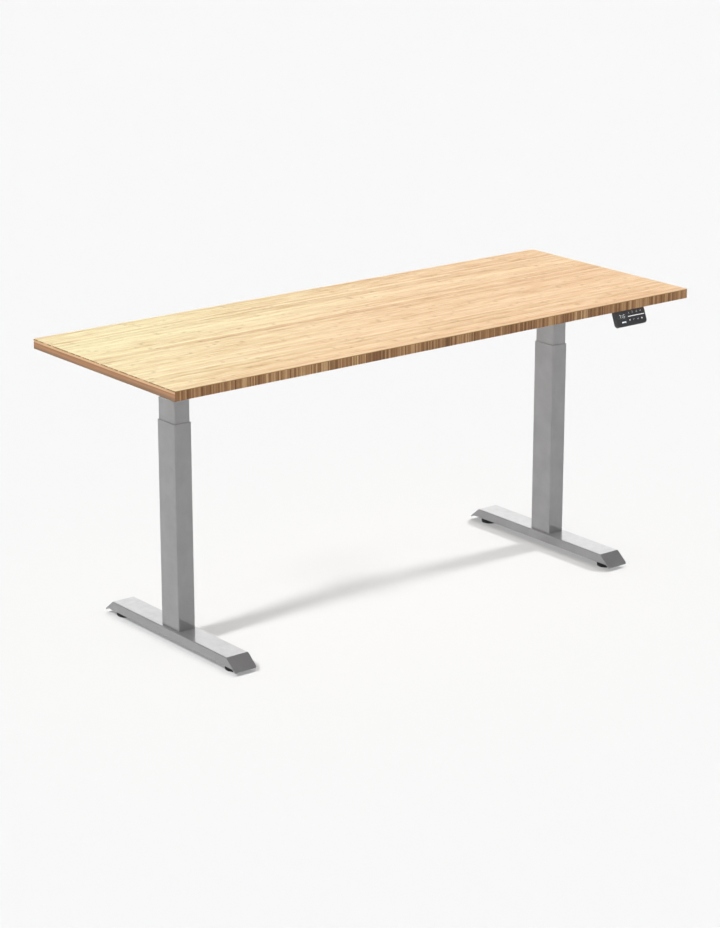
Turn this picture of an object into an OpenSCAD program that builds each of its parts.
// Height-adjustable standing desk with two three-stage telescopic columns.
// +X runs along the worktop, +Y to the back and +Z up.
// The origin is on the floor, under the middle of the worktop.

/* [Worktop] */
// Width of the worktop, left to right
desk_w = 1800; // [1700:10:2000]
// Depth of the worktop, front to back
desk_d = 675; // [660:5:800]
// Thickness of the worktop
desk_t = 27; // [24:1:30]
// Height of the worktop's upper face as drawn
desk_h = 822; // [725:1:1300]

/* [Columns] */
// Distance from the middle of the desk to each column's axis
leg_x = 676; // [640:1:700]
// Side of the lowest tube along X
tube_x = 54; // [50:1:60]
// Side of the lowest tube along Y
tube_y = 82; // [78:1:90]
// How much smaller each next tube is
tube_step = 5; // [5:0.5:6]
// Wall thickness of the tubes
tube_wall = 1.5; // [1.2:0.1:1.6]
// Outer corner radius of the tubes
tube_r = 3; // [2.5:0.5:5]
// Length of the lowest tube
outer_len = 586; // [580:1:620]
// How far each stage travels out of the one below it
stage_travel = 290; // [200:1:290]

/* [Feet] */
// Width of a foot
foot_w = 72; // [66:1:90]
// Overall length of a foot, tip to tip
foot_len = 628; // [600:2:700]
// Length of the flat top of a foot
foot_flat = 548; // [520:2:560]
// Height of the foot's upper face above the floor
foot_top = 44; // [42:1:50]
// Depth of the foot's side walls
foot_wall_h = 26; // [24:1:28]
// Height from the top of a foot down to the tips of its end flaps
flap_drop = 32; // [30:1:34]
// Thickness of the foot's sheet steel
foot_sheet = 3; // [2:0.5:4]
// Distance from a column's axis to each levelling glide
glide_y = 262; // [240:1:264]
// Diameter of a glide's pad
glide_d = 52; // [36:1:60]

/* [Under frame] */
// Height of the gearbox housings
gearbox_h = 43; // [43:1:48]
// Width of the side brackets
bracket_w = 90; // [88:1:100]
// Length of the side brackets
bracket_len = 560; // [500:10:580]
// Distance from the middle to each crossbar rail
rail_y = 95; // [80:1:110]
// Length of the two middle rails
rail_len = 1000; // [900:10:1100]

/* [Handset] */
// Width of the handset
handset_w = 115; // [110:1:125]
// Middle of the handset, measured from the middle of the desk
handset_x = 684.5; // [600:0.5:800]
// Lean of the handset's face from upright
handset_tilt = 22; // [15:1:25]
// How far the handset hangs below the worktop
handset_drop = 48; // [46:1:50]

/* [Hidden] */
$fn = 48;

// Small overshoot of cutting shapes
cut = 1;

// Colours
bamboo = "burlywood";
powder_grey = "#a9a9ab";
steel = "#b8bcc0";
zinc = "#c9ccd0";
brass = "#c9a250";
nylon_white = "#e8e8e4";
black_plastic = "#2b2c2e";
black_rubber = "#1c1c1c";
cast_alloy = "#8f9396";
board_green = "#2f6b45";
key_grey = "#44464a";

// Column levels. A name that ends in _low is for the desk at its lowest.
base_plate_t = 8;
outer_top = foot_top + outer_len;
mid_lip = 12;
stage_gap = 3;
flange_t = 4;
sheet_t = 3;
low_h = outer_top + mid_lip + stage_gap + flange_t + gearbox_h + sheet_t + desk_t;
lift_out = desk_h - low_h;
stage_out = lift_out / 2;
base_top = foot_top + base_plate_t;
mid_x = tube_x - tube_step;
mid_y = tube_y - tube_step;
inner_x = tube_x - 2 * tube_step;
inner_y = tube_y - 2 * tube_step;
mid_plate_t = 6;
mid_bot_low = base_top + 10;
mid_top_low = outer_top + mid_lip;
inner_bot_low = mid_bot_low + mid_plate_t + 9;
flange_z = mid_top_low + stage_gap + lift_out;
head_z = flange_z + flange_t;
under_z = desk_h - desk_t;
sheet_z = under_z - sheet_t;

// Lift screws
screw_r = 6;
sleeve_r = 9;
sleeve_bore_r = 6.4;
fit_gap = 0.05;
post_r = 14;
post_bore_r = 11;
lower_nut_z = base_top + stage_travel + 6;
nut_h = 30;
mid_post_r = 16.5;
mid_post_bore_r = 14.5;
mid_post_top_low = lower_nut_z + nut_h + 26;
sleeve_bot_low = base_top + 2;
screw_bot_low = mid_post_top_low + nut_h - stage_travel - 40;
wheel_z = head_z + 15;
wheel_h = 12;
wheel_teeth = 20;
wheel_r = 17.2;
worm_x = 22.4;
worm_r = 4.4;
worm_z = wheel_z + wheel_h / 2;
shaft_r = 3;

// Glide strips between the tubes
strip_t = 0.8;
strip_h = 60;
strip_inset = 0.4;

// Screws and bolts
bolt_r = 4;
bolt_y = 28;
bolt_x = 14;
wood_r = 2.5;
wood_depth = 18;
pilot_gap = 0.1;
m6_r = 3;

// Under frame
rail_h = 34;
rail_w = 24;
rail_wall = 2;
rail_top = under_z - 10;
rail_z = rail_top - rail_h;
end_rail_len = 300;
motor_r = 18;
motor_y0 = 50;
motor_len = 112;
gearbox_y0 = -45;
bracket_in = bracket_w / 2 - sheet_t;
bracket_screws = [for (x = [-30, 30], y = [-250, -150, 150, 250]) [x, y]];

// Control box
box_x0 = -150;
box_w = 240;
box_y0 = 130;
box_d = 110;
box_h = 36;
box_wall = 2;
cover_t = 2;
ear = 15;
box_z = under_z - box_h;
lead_z = under_z - 9;
lead_r = 3;
handset_lead_r = 2.2;
lead_y = 190;

// Handset, drawn in face coordinates: u to the right, v up the face, w out of it
face_v = handset_drop / cos(handset_tilt) - 1.3;
face_t = 3;
face_r = 10;
case_t = 13;
shell_t = 2;
front_y = -desk_d / 2 + 0.5;
handset_z = under_z - handset_drop;
key_pitch = 15.6;
key_u0 = 51;
key_w = 10;
key_h = 7;
key_gap = 0.3;
key_v_upper = 37.5;
key_v_lower = 16;
window = [10, 21.5, 29, 16.5];
strip_slot = [47, 25.9, 63, 1.8];

// ---------- helpers ----------

// Flat outline of a rectangle with round corners, centred
module round_rect(x, y, r) {
    square([x - 2 * r, y], center = true);
    square([x, y - 2 * r], center = true);
    for (i = [-1, 1], j = [-1, 1])
        translate([i * (x / 2 - r), j * (y / 2 - r)]) circle(r);
}

// Upright rectangular tube
module rect_tube(x, y, wall, r, z0, z1) {
    translate([0, 0, z0]) linear_extrude(z1 - z0) difference() {
        round_rect(x, y, r);
        round_rect(x - 2 * wall, y - 2 * wall, r - wall);
    }
}

// Upright round tube
module ring(r_out, r_in, z0, z1) {
    difference() {
        translate([0, 0, z0]) cylinder(r = r_out, h = z1 - z0);
        translate([0, 0, z0 - cut]) cylinder(r = r_in, h = z1 - z0 + 2 * cut);
    }
}

// Box from its low corner to its high corner
module block(low, high) {
    translate(low) cube(high - low);
}

// Places a column part: side is -1 on the left and 1 on the right.
// In the part's own frame +X points to the middle of the desk.
module at_column(side) {
    translate([side * leg_x, 0, 0]) mirror([side > 0 ? 1 : 0, 0, 0]) children();
}

// Four flat strips round a tube of x by y, each strip_t thick and lying outside it
module strips(x, y, z0) {
    share = 0.86;
    for (s = [-1, 1]) {
        translate([s * (x + strip_t) / 2, 0, z0 + strip_h / 2])
            cube([strip_t, y * share, strip_h], center = true);
        translate([0, s * (y + strip_t) / 2, z0 + strip_h / 2])
            cube([x * share, strip_t, strip_h], center = true);
    }
}

// Four corner places
module corners(x, y) {
    for (i = [-1, 1], j = [-1, 1]) translate([i * x, j * y, 0]) children();
}

// Socket-head bolt standing on z = 0 with its shank pointing up
module bolt(r, length) {
    cylinder(r = r, h = length);
    difference() {
        translate([0, 0, -1.6 * r]) cylinder(r = 1.65 * r, h = 1.6 * r);
        translate([0, 0, -1.6 * r - cut]) cylinder(r = 0.8 * r, h = r + cut, $fn = 6);
    }
}

// Pan-head screw with its shank pointing up
module pan_screw(r, length) {
    cylinder(r = r, h = length);
    difference() {
        translate([0, 0, -r]) cylinder(r = 2.1 * r, h = r);
        for (a = [0, 90])
            translate([0, 0, -r]) rotate([0, 0, a]) cube([2.2 * r, 0.5 * r, r], center = true);
    }
}

// ---------- feet ----------

// Side view of a foot: a flat top with a flap bent down at each end
module foot_outline() {
    flap = [(foot_len - foot_flat) / 2, -flap_drop];
    n = [flap[1], -flap[0]] / norm(flap) * foot_sheet;
    tip = [foot_len / 2, foot_top - flap_drop];
    wall_z = foot_top - foot_wall_h;
    wall_y = tip[0] + n[0] - (wall_z - tip[1] - n[1]) * flap[0] / flap_drop;
    half = [[foot_flat / 2, foot_top], tip, tip + n, [wall_y, wall_z]];
    polygon(concat(half, [for (i = [3:-1:0]) [-half[i][0], half[i][1]]]));
}

// The hollow inside a foot, open below
module foot_hollow() {
    flap = [(foot_len - foot_flat) / 2, -flap_drop];
    n = [flap[1], -flap[0]] / norm(flap) * foot_sheet;
    tip = [foot_len / 2, foot_top - flap_drop] + n;
    roof = foot_top - foot_sheet;
    roof_y = tip[0] - (roof - tip[1]) * flap[0] / flap_drop;
    polygon([[-roof_y, roof], [roof_y, roof], tip, [tip[0], 0], [-tip[0], 0], [-tip[0], tip[1]]]);
}

module along_x(width) {
    translate([-width / 2, 0, 0]) rotate([90, 0, 90]) linear_extrude(width) children();
}

module foot_shape() {
    difference() {
        intersection() {
            along_x(foot_w) foot_outline();
            linear_extrude(foot_top + cut) round_rect(foot_w, foot_len, 6);
            rotate([90, 0, 0]) translate([0, foot_top - 50, -foot_len]) linear_extrude(2 * foot_len)
                round_rect(foot_w, 100, 3);
        }
        along_x(foot_w - 2 * foot_sheet) foot_hollow();
        corners(bolt_x, bolt_y) translate([0, 0, foot_top - foot_sheet - cut])
            cylinder(r = bolt_r + 0.3, h = foot_sheet + 2 * cut);
    }
}

// Welded strip with a threaded hole for one glide
module glide_nut_plate(y) {
    difference() {
        translate([0, y, foot_top - 20]) cube([foot_w - 2 * foot_sheet, 30, 8], center = true);
        translate([0, y, foot_top - 30]) cylinder(r = bolt_r + fit_gap, h = 20);
    }
}

module foot(side) {
    color(powder_grey) at_column(side) {
        foot_shape();
        for (s = [-1, 1]) glide_nut_plate(s * glide_y);
    }
}

module foot_bolts() {
    color(zinc) for (side = [-1, 1]) at_column(side) corners(bolt_x, bolt_y)
        translate([0, 0, foot_top - foot_sheet]) bolt(bolt_r, foot_sheet + base_plate_t - 0.5);
}

// Levelling glide: a moulded pad on a steel stud
module glide(side, s) {
    color(black_rubber) at_column(side) translate([0, s * glide_y, 0]) rotate_extrude() polygon([
        [0, 0], [glide_d / 2 - 3, 0], [glide_d / 2, 3], [glide_d / 2, 9], [glide_d / 2 - 5, 14],
        [8, 15], [8, 18], [bolt_r, 18], [bolt_r, foot_top - 6], [0, foot_top - 6]
    ]);
}

// ---------- columns ----------

module outer_tube(side) {
    color(powder_grey) at_column(side) {
        rect_tube(tube_x, tube_y, tube_wall, tube_r, foot_top, outer_top);
        difference() {
            block([-tube_x / 2 + tube_wall, -tube_y / 2 + tube_wall, foot_top],
                  [tube_x / 2 - tube_wall, tube_y / 2 - tube_wall, base_top]);
            translate([0, 0, foot_top - cut]) {
                corners(tube_x / 2 - tube_wall, tube_y / 2 - tube_wall)
                    cylinder(r = tube_r - tube_wall, h = base_plate_t + 2 * cut);
                corners(bolt_x, bolt_y) cylinder(r = bolt_r + pilot_gap, h = base_plate_t + 2 * cut);
            }
        }
    }
}

module outer_glide_strips() {
    color(nylon_white) for (side = [-1, 1]) at_column(side)
        strips(tube_x - 2 * tube_wall - 2 * strip_t, tube_y - 2 * tube_wall - 2 * strip_t,
               outer_top - strip_h - strip_inset);
}

module nut_posts() {
    color(steel) for (side = [-1, 1]) at_column(side) ring(post_r, post_bore_r, base_top, lower_nut_z);
}

module lower_nuts() {
    color(brass) for (side = [-1, 1]) at_column(side) {
        ring(post_r, sleeve_r + fit_gap, lower_nut_z, lower_nut_z + nut_h);
        ring(post_bore_r - pilot_gap, sleeve_r + fit_gap, lower_nut_z - 10, lower_nut_z);
    }
}

module middle_tube(side) {
    bottom = mid_bot_low + stage_out;
    color(powder_grey) at_column(side) {
        rect_tube(mid_x, mid_y, tube_wall, tube_r, bottom, mid_top_low + stage_out);
        difference() {
            block([-mid_x / 2 + tube_wall, -mid_y / 2 + tube_wall, bottom],
                  [mid_x / 2 - tube_wall, mid_y / 2 - tube_wall, bottom + mid_plate_t]);
            translate([0, 0, bottom - cut]) {
                corners(mid_x / 2 - tube_wall, mid_y / 2 - tube_wall)
                    cylinder(r = tube_r - tube_wall, h = mid_plate_t + 2 * cut);
                cylinder(r = mid_post_r + pilot_gap, h = mid_plate_t + 2 * cut);
            }
        }
    }
}

module middle_glide_strips(side) {
    color(nylon_white) at_column(side) {
        strips(mid_x, mid_y, mid_bot_low + stage_out + 2);
        strips(mid_x - 2 * tube_wall - 2 * strip_t, mid_y - 2 * tube_wall - 2 * strip_t,
               mid_top_low + stage_out - strip_h - strip_inset);
    }
}

module middle_post(side) {
    color(steel) at_column(side)
        ring(mid_post_r, mid_post_bore_r, mid_bot_low + stage_out, mid_post_top_low + stage_out);
}

module upper_nut(side) {
    z = mid_post_top_low + stage_out;
    color(brass) at_column(side) ring(mid_post_r, screw_r + fit_gap, z, z + nut_h);
}

// Hollow screw that turns in the lower nut and hangs in the middle post
module sleeve_screw(side) {
    top = mid_post_top_low + stage_out - 0.5;
    color(steel) at_column(side) {
        ring(sleeve_r, sleeve_bore_r, sleeve_bot_low + stage_out, top - 6);
        ring(mid_post_bore_r - 0.3, sleeve_bore_r, top - 6, top);
    }
}

module drive_screw(side) {
    bottom = screw_bot_low + lift_out;
    color(steel) at_column(side) translate([0, 0, bottom]) cylinder(r = screw_r, h = sheet_z - 6 - bottom);
}

module worm_wheel(side) {
    color(brass) at_column(side) difference() {
        ring(wheel_r, screw_r, wheel_z, wheel_z + wheel_h);
        for (i = [0:wheel_teeth - 1]) rotate([0, 0, (i + 0.5) * 360 / wheel_teeth])
            translate([wheel_r, 0, wheel_z + wheel_h / 2]) cube([5, 2.6, wheel_h + 2 * cut], center = true);
    }
}

module inner_tube(side) {
    hole_y = 46;
    hole_x = 22;
    color(powder_grey) at_column(side) {
        rect_tube(inner_x, inner_y, tube_wall, tube_r, inner_bot_low + lift_out, flange_z);
        difference() {
            block([-32, -54, flange_z], [32, 54, head_z]);
            translate([0, 0, flange_z - cut]) cylinder(r = screw_r + 1, h = flange_t + 2 * cut);
            corners(hole_x, hole_y) translate([0, 0, flange_z - cut])
                cylinder(r = m6_r + pilot_gap, h = flange_t + 2 * cut);
        }
    }
}

module inner_glide_strips() {
    color(nylon_white) for (side = [-1, 1]) at_column(side)
        strips(inner_x, inner_y, inner_bot_low + lift_out + 2);
}

// ---------- gearboxes and motors ----------

module along_y(x, z, y0, y1, r) {
    translate([x, y0, z]) rotate([-90, 0, 0]) cylinder(r = r, h = y1 - y0);
}

module gearbox(side) {
    color(cast_alloy) at_column(side) difference() {
        block([-32, gearbox_y0 - 9, head_z], [34, motor_y0, sheet_z]);
        translate([0, 0, wheel_z - 2]) cylinder(r = wheel_r + 1.8, h = gearbox_h);
        translate([0, 0, head_z - cut]) cylinder(r = screw_r + fit_gap, h = gearbox_h);
        block([worm_x - 6, -30, worm_z - 6], [worm_x + 6, 30, sheet_z + cut]);
        along_y(worm_x, worm_z, -44, motor_y0 + cut, shaft_r + fit_gap);
        for (x = [-22, 22], y = [-46, 46]) translate([x, y, head_z - cut])
            cylinder(r = m6_r + pilot_gap, h = 9 + cut);
    }
}

// Worm on the rotor's shaft
module worm(side) {
    color(steel) at_column(side) {
        along_y(worm_x, worm_z, -25, 25, worm_r);
        along_y(worm_x, worm_z, -43, -25, shaft_r);
        along_y(worm_x, worm_z, 25, motor_y0 + 12, shaft_r);
    }
}

module motor(side) {
    end_y = motor_y0 + motor_len;
    color(black_plastic) at_column(side) difference() {
        union() {
            along_y(worm_x, worm_z, motor_y0, end_y - 10, motor_r);
            along_y(worm_x, worm_z, end_y - 10, end_y, motor_r - 3);
        }
        along_y(worm_x, worm_z, motor_y0 - cut, motor_y0 + 14, shaft_r + fit_gap);
    }
}

// ---------- under frame ----------

// Side view of a bracket's walls, deep in the middle and shallow at its ends
module bracket_side() {
    deep = head_z + 1;
    deep_y = 125;
    shallow = sheet_z - 15;
    half = bracket_len / 2;
    polygon([
        [-half, under_z], [-half, shallow], [-deep_y, deep],
        [deep_y, deep], [half, shallow], [half, under_z]
    ]);
}

module side_bracket(side) {
    color(powder_grey) at_column(side) difference() {
        along_x(bracket_w) bracket_side();
        block([-bracket_in, -bracket_len, 0], [bracket_in, bracket_len, sheet_z]);
        for (p = bracket_screws) translate([p[0], p[1], sheet_z - cut])
            cylinder(r = wood_r + pilot_gap, h = sheet_t + 2 * cut);
        for (s = [-1, 1], y = [-22, 22]) translate([bracket_in - cut, s * rail_y + y, rail_z + rail_h / 2])
            rotate([0, 90, 0]) cylinder(r = m6_r + pilot_gap, h = sheet_t + 2 * cut);
        translate([bracket_in - cut, lead_y, lead_z]) rotate([0, 90, 0])
            cylinder(r = lead_r + 2, h = sheet_t + 2 * cut);
    }
}

// Lying rectangular tube from x0 to x1
module rail(x0, x1, h, w, wall) {
    translate([x0, 0, 0]) rotate([90, 0, 90]) linear_extrude(x1 - x0) difference() {
        round_rect(w, h, 3);
        round_rect(w - 2 * wall, h - 2 * wall, 1);
    }
}

module center_rails() {
    color(powder_grey) for (s = [-1, 1]) translate([0, s * rail_y, rail_z + rail_h / 2])
        rail(-rail_len / 2, rail_len / 2, rail_h, rail_w, rail_wall);
}

module end_rails() {
    start = bracket_w / 2;
    color(powder_grey) for (side = [-1, 1], s = [-1, 1])
        at_column(side) translate([0, s * rail_y, rail_z + rail_h / 2]) {
            rail(start + sheet_t, start + end_rail_len, rail_h - 2 * rail_wall - 0.6,
                 rail_w - 2 * rail_wall - 0.6, rail_wall);
            difference() {
                translate([start, 0, 0]) rotate([90, 0, 90]) linear_extrude(sheet_t)
                    round_rect(60, rail_h, 4);
                for (y = [-22, 22]) translate([start - cut, y, 0])
                    rotate([0, 90, 0]) cylinder(r = m6_r + pilot_gap, h = sheet_t + 2 * cut);
            }
        }
}

module frame_bolts() {
    color(zinc) for (side = [-1, 1]) at_column(side) {
        for (x = [-22, 22], y = [-46, 46]) translate([x, y, flange_z]) bolt(m6_r, flange_t + 8);
        for (s = [-1, 1], y = [-22, 22])
            translate([bracket_w / 2 + sheet_t, s * rail_y + y, rail_z + rail_h / 2])
                rotate([0, -90, 0]) bolt(m6_r, 2 * sheet_t + 1);
    }
}

function cover_screws() = [
    for (x = [box_x0 - ear / 2, box_x0 + box_w + ear / 2], y = [box_y0 + 20, box_y0 + box_d - 20]) [x, y]
];
function handset_screws() = [for (s = [-1, 1]) [handset_x + s * 30, front_y + 44]];

module worktop() {
    color(bamboo) difference() {
        translate([0, 0, under_z]) linear_extrude(desk_t) round_rect(desk_w, desk_d, 3);
        for (side = [-1, 1]) at_column(side) for (p = bracket_screws)
            translate([p[0], p[1], under_z - cut]) cylinder(r = wood_r + pilot_gap, h = wood_depth + cut);
        for (p = cover_screws()) translate([p[0], p[1], under_z - cut])
            cylinder(r = wood_r + pilot_gap, h = wood_depth + cut);
        for (p = handset_screws()) translate([p[0], p[1], under_z - cut])
            cylinder(r = wood_r + pilot_gap, h = wood_depth + cut);
    }
}

module worktop_screws() {
    color(zinc) {
        for (side = [-1, 1]) at_column(side) for (p = bracket_screws)
            translate([p[0], p[1], sheet_z]) pan_screw(wood_r, wood_depth);
        for (p = cover_screws()) translate([p[0], p[1], under_z - cover_t]) pan_screw(wood_r, wood_depth);
        for (p = handset_screws()) translate([p[0], p[1], under_z - face_t]) pan_screw(wood_r, wood_depth);
    }
}

// ---------- control box ----------

module control_box() {
    x1 = box_x0 + box_w;
    y1 = box_y0 + box_d;
    top = under_z - cover_t;
    color(black_plastic) difference() {
        translate([box_x0 + box_w / 2, box_y0 + box_d / 2, box_z]) linear_extrude(top - box_z)
            round_rect(box_w, box_d, 5);
        translate([box_x0 + box_w / 2, box_y0 + box_d / 2, box_z + box_wall]) linear_extrude(box_h)
            round_rect(box_w - 2 * box_wall, box_d - 2 * box_wall, 3);
        for (x = [box_x0, x1]) block([x - 5, lead_y - 11, box_z + 16], [x + 5, lead_y + 11, box_z + 28]);
        block([x1 - 5, lead_y - 31, box_z + 17], [x1 + 5, lead_y - 18, box_z + 27]);
        block([-100, y1 - 5, box_z + 6], [-70, y1 + 5, box_z + 28]);
    }
}

module control_box_cover() {
    color(black_plastic) difference() {
        translate([box_x0 + box_w / 2, box_y0 + box_d / 2, under_z - cover_t]) linear_extrude(cover_t)
            round_rect(box_w + 2 * ear, box_d, 5);
        for (p = cover_screws()) translate([p[0], p[1], under_z - cover_t - cut])
            cylinder(r = wood_r + pilot_gap, h = cover_t + 2 * cut);
    }
}

module control_board() {
    color(board_green) {
        block([box_x0 + 12, box_y0 + 8, box_z + 5], [box_x0 + box_w - 12, box_y0 + box_d - 8, box_z + 6.6]);
        block([box_x0 + 30, box_y0 + 16, box_z + 6.6], [box_x0 + 80, box_y0 + 50, box_z + 26]);
        for (i = [0:3]) translate([i * 26 - 20, box_y0 + 34, box_z + 6.6]) cylinder(r = 8, h = 20);
    }
}

module mains_inlet() {
    y1 = box_y0 + box_d;
    color(black_plastic) difference() {
        union() {
            block([-99.5, y1 - 22, box_z + 6.8], [-70.5, y1, box_z + 27.6]);
            block([-103, y1, box_z + 4], [-67, y1 + 3, box_z + 30]);
        }
        block([-97, y1 - 16, box_z + 10], [-73, y1 + 4, box_z + 24.5]);
    }
    color(brass) for (p = [[-92, 19], [-85, 15], [-78, 19]])
        block([p[0] - 1, y1 - 16, box_z + p[1] - 2], [p[0] + 1, y1 - 4, box_z + p[1] + 2]);
}

// ---------- leads ----------

function unit(v) = v / norm(v);
function bend_t(a, b, c) = unit(unit(b - a) + unit(c - b));
function tangent(p, i) =
    i == 0 ? unit(p[1] - p[0])
    : i == len(p) - 1 ? unit(p[i] - p[i - 1])
    : bend_t(p[i - 1], p[i], p[i + 1]);
// Point on a smooth curve between b and c
function spline(a, b, c, d, t) =
    0.5 * (2 * b + (c - a) * t + (2 * a - 5 * b + 4 * c - d) * t * t + (3 * b - a - 3 * c + d) * t * t * t);
function smooth(p, n) = concat([for (i = [0:len(p) - 2], k = [0:n - 1])
    spline(p[max(i - 1, 0)], p[i], p[i + 1], p[min(i + 2, len(p) - 1)], k / n)], [p[len(p) - 1]]);

// Round tube swept along a route that never stands upright
module swept(route, r, sides = 8) {
    n = len(route);
    rings = [for (i = [0:n - 1])
        let (t = tangent(route, i), side = unit(cross(t, [0, 0, 1])), up = cross(side, t))
        for (k = [0:sides - 1])
            route[i] + r * (cos(k * 360 / sides) * side + sin(k * 360 / sides) * up)];
    walls = [for (i = [0:n - 2], k = [0:sides - 1])
        let (a = i * sides + k, b = i * sides + (k + 1) % sides)
        [a, b, b + sides, a + sides]];
    start_cap = [for (k = [sides - 1:-1:0]) k];
    end_cap = [for (k = [0:sides - 1]) (n - 1) * sides + k];
    polyhedron(rings, concat([start_cap], walls, [end_cap]), convexity = 8);
}

motor_end = motor_y0 + motor_len;
// Routes in mm, from the motor or handset to the control box
left_lead = [
    [worm_x - leg_x, motor_end + 1, worm_z], [worm_x - leg_x, motor_end + 8, worm_z + 4],
    [worm_x - leg_x + 6, lead_y - 8, lead_z - 2], [-leg_x + 44, lead_y, lead_z],
    [-560, lead_y, lead_z], [-400, lead_y, lead_z], [-250, lead_y, lead_z],
    [-200, lead_y, lead_z - 2], [box_x0 - 22, lead_y, box_z + 22]
];
right_lead = [
    [leg_x - worm_x, motor_end + 1, worm_z], [leg_x - worm_x, motor_end + 8, worm_z + 4],
    [leg_x - worm_x - 6, lead_y - 8, lead_z - 2], [leg_x - 44, lead_y, lead_z],
    [520, lead_y, lead_z], [380, lead_y, lead_z], [220, lead_y, lead_z],
    [150, lead_y, lead_z - 2], [box_x0 + box_w + 22, lead_y, box_z + 22]
];
hs_lead_y = lead_y - 24;
hs_lead_z = under_z - 5;
hs_exit_x = handset_x - 42;
hs_exit_z = under_z - 8;
handset_route = [
    [hs_exit_x, front_y + 22, hs_exit_z], [hs_exit_x, front_y + 30, hs_exit_z],
    [hs_exit_x, front_y + 38, hs_exit_z], [hs_exit_x - 5, front_y + 47, hs_exit_z + 1],
    [622, front_y + 58, hs_exit_z + 2], [608, front_y + 76, hs_lead_z],
    [604, -200, hs_lead_z], [604, -100, hs_lead_z], [604, 0, hs_lead_z], [604, 100, hs_lead_z],
    [600, 134, hs_lead_z], [576, hs_lead_y, hs_lead_z], [480, hs_lead_y, hs_lead_z],
    [300, hs_lead_y, hs_lead_z], [160, hs_lead_y, hs_lead_z - 1],
    [box_x0 + box_w + 18, hs_lead_y, box_z + 22]
];

// Moulded plug between a lead and the control box; dir points to the box
module box_plug(x, y, w, h, dir, length = 26) {
    block([min(x, x + dir * length), y - w / 2, box_z + 22 - h / 2],
          [max(x, x + dir * length), y + w / 2, box_z + 22 + h / 2]);
}

module motor_leads() {
    color(black_rubber) {
        swept(smooth(left_lead, 4), lead_r);
        swept(smooth(right_lead, 4), lead_r);
        box_plug(box_x0 - 22, lead_y, 20, 10, 1);
        box_plug(box_x0 + box_w + 22, lead_y, 20, 10, -1);
    }
}

module handset_lead() {
    color(black_rubber) {
        swept(smooth(handset_route, 4), handset_lead_r);
        box_plug(box_x0 + box_w + 18, hs_lead_y, 11, 8, -1);
    }
}

// Saddle clip that holds a lead of radius r against the worktop; the lead runs along X or Y
module saddle(p, r, z, along) {
    translate([p[0], p[1], 0]) rotate([0, 0, along]) difference() {
        union() {
            block([-5, -r - 2, z - r - 1.5], [5, r + 2, under_z]);
            block([-5, -r - 9, under_z - 2], [5, r + 9, under_z]);
        }
        translate([-5 - cut, 0, z]) rotate([0, 90, 0]) cylinder(r = r + 0.3, h = 10 + 2 * cut);
        block([-5 - cut, -r - 0.3, z], [5 + cut, r + 0.3, under_z + cut]);
    }
}

module cable_clips() {
    color(nylon_white) {
        for (x = [-560, -400, -250, 520, 380, 220]) saddle([x, lead_y], lead_r, lead_z, 0);
        for (y = [-200, -30, 60]) saddle([604, y], handset_lead_r, hs_lead_z, 90);
        for (x = [480, 300]) saddle([x, hs_lead_y], handset_lead_r, hs_lead_z, 0);
    }
}

// ---------- handset ----------

module on_face() {
    translate([handset_x - handset_w / 2, front_y, handset_z]) rotate([90 - handset_tilt, 0, 0]) children();
}

// Side-view point of face coordinates v and w
function face_pt(v, w) = [
    front_y + v * sin(handset_tilt) - w * cos(handset_tilt),
    handset_z + v * cos(handset_tilt) + w * sin(handset_tilt)
];

// Front outline of the handset with rounded lower corners
module face_outline(inset, r) {
    w = handset_w - 2 * inset;
    translate([handset_w / 2, face_v / 2]) round_rect(w, face_v - 2 * inset, r);
}

function key_place(i) = [key_u0 + (i % 4) * key_pitch, i < 4 ? key_v_upper : key_v_lower];

module handset_case() {
    color(black_plastic) difference() {
        union() {
            on_face() translate([0, 0, -case_t]) linear_extrude(case_t - face_t) face_outline(0, face_r);
            translate([handset_x, 0, 0]) along_x(handset_w - 16) polygon([
                face_pt(face_v - 8, -face_t - 1), face_pt(face_v, -face_t - 1),
                [face_pt(face_v, -face_t - 1)[0], under_z], [front_y + 52, under_z],
                [front_y + 52, under_z - face_t], [front_y + 35, under_z - face_t],
                face_pt(face_v - 8, -case_t)
            ]);
        }
        on_face() translate([0, 0, -case_t + shell_t]) linear_extrude(case_t) face_outline(shell_t, face_r - shell_t);
        for (p = handset_screws()) translate([p[0], p[1], under_z - face_t - cut])
            cylinder(r = wood_r + pilot_gap, h = face_t + 2 * cut);
        translate([hs_exit_x, front_y + 16, hs_exit_z])
            rotate([-90, 0, 0]) cylinder(r = handset_lead_r + 0.3, h = 30);
    }
}

module handset_face() {
    color(black_plastic) on_face() translate([0, 0, -face_t]) linear_extrude(face_t) difference() {
        face_outline(0, face_r);
        for (i = [0:7]) translate(key_place(i)) round_rect(key_w + 2 * key_gap, key_h + 2 * key_gap, 1.5);
        translate([window[0], window[1]]) square([window[2], window[3]]);
        translate([strip_slot[0], strip_slot[1]]) square([strip_slot[2], strip_slot[3]]);
    }
}

// Clear lens over the digits, and the narrow lit line between the two rows of keys
module display_window() {
    color("black") on_face() translate([0, 0, -face_t]) {
        translate([window[0], window[1], 0]) cube([window[2], window[3], face_t]);
        translate([strip_slot[0], strip_slot[1], 0]) cube([strip_slot[2], strip_slot[3], face_t + 0.2]);
    }
}

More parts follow.
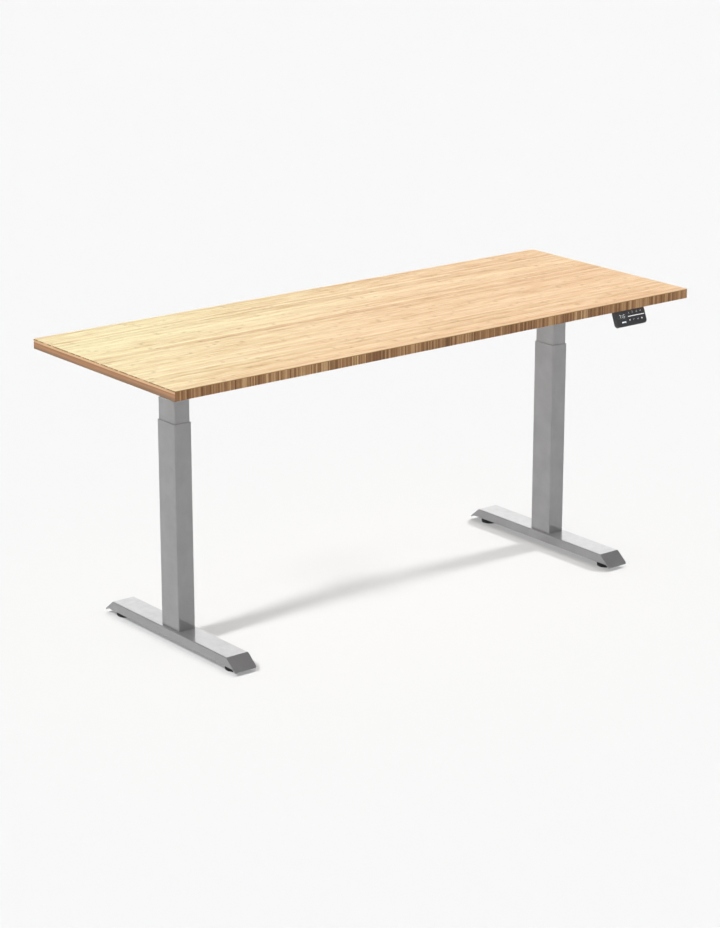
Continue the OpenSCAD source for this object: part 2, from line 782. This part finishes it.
// A key: a cap through the face with a skirt behind it that keeps it in
module key_cap(i) {
    color(key_grey) on_face() translate(key_place(i)) {
        translate([0, 0, -face_t - 0.4]) linear_extrude(face_t + 0.9) round_rect(key_w, key_h, 1.2);
        translate([0, 0, -face_t - 1.4]) linear_extrude(1.1) round_rect(key_w + 2.4, key_h + 2.4, 1.2);
    }
}

foot(-1);  // left_foot
foot(1);  // right_foot
foot_bolts();
glide(-1, -1);  // glide_left_front
glide(-1, 1);  // glide_left_back
glide(1, -1);  // glide_right_front
glide(1, 1);  // glide_right_back
outer_tube(-1);  // left_outer_tube
outer_tube(1);  // right_outer_tube
outer_glide_strips();
nut_posts();
lower_nuts();
middle_tube(-1);  // left_middle_tube
middle_tube(1);  // right_middle_tube
middle_glide_strips(-1);  // left_middle_glide_strips
middle_glide_strips(1);  // right_middle_glide_strips
middle_post(-1);  // left_middle_post
middle_post(1);  // right_middle_post
upper_nut(-1);  // left_upper_nut
upper_nut(1);  // right_upper_nut
sleeve_screw(-1);  // left_sleeve_screw
sleeve_screw(1);  // right_sleeve_screw
drive_screw(-1);  // left_drive_screw
drive_screw(1);  // right_drive_screw
worm_wheel(-1);  // left_worm_wheel
worm_wheel(1);  // right_worm_wheel
worm(-1);  // left_worm
worm(1);  // right_worm
inner_tube(-1);  // left_inner_tube
inner_tube(1);  // right_inner_tube
inner_glide_strips();
gearbox(-1);  // left_gearbox
gearbox(1);  // right_gearbox
motor(-1);  // left_motor
motor(1);  // right_motor
side_bracket(-1);  // left_side_bracket
side_bracket(1);  // right_side_bracket
center_rails();
end_rails();
worktop();
worktop_screws();
frame_bolts();
control_box();
control_box_cover();
control_board();
mains_inlet();
motor_leads();
handset_lead();
cable_clips();
handset_case();
handset_face();
display_window();
key_cap(0);  // key_preset_1
key_cap(1);  // key_preset_2
key_cap(2);  // key_preset_3
key_cap(3);  // key_preset_4
key_cap(4);  // key_save
key_cap(5);  // key_up
key_cap(6);  // key_down
key_cap(7);  // key_lock
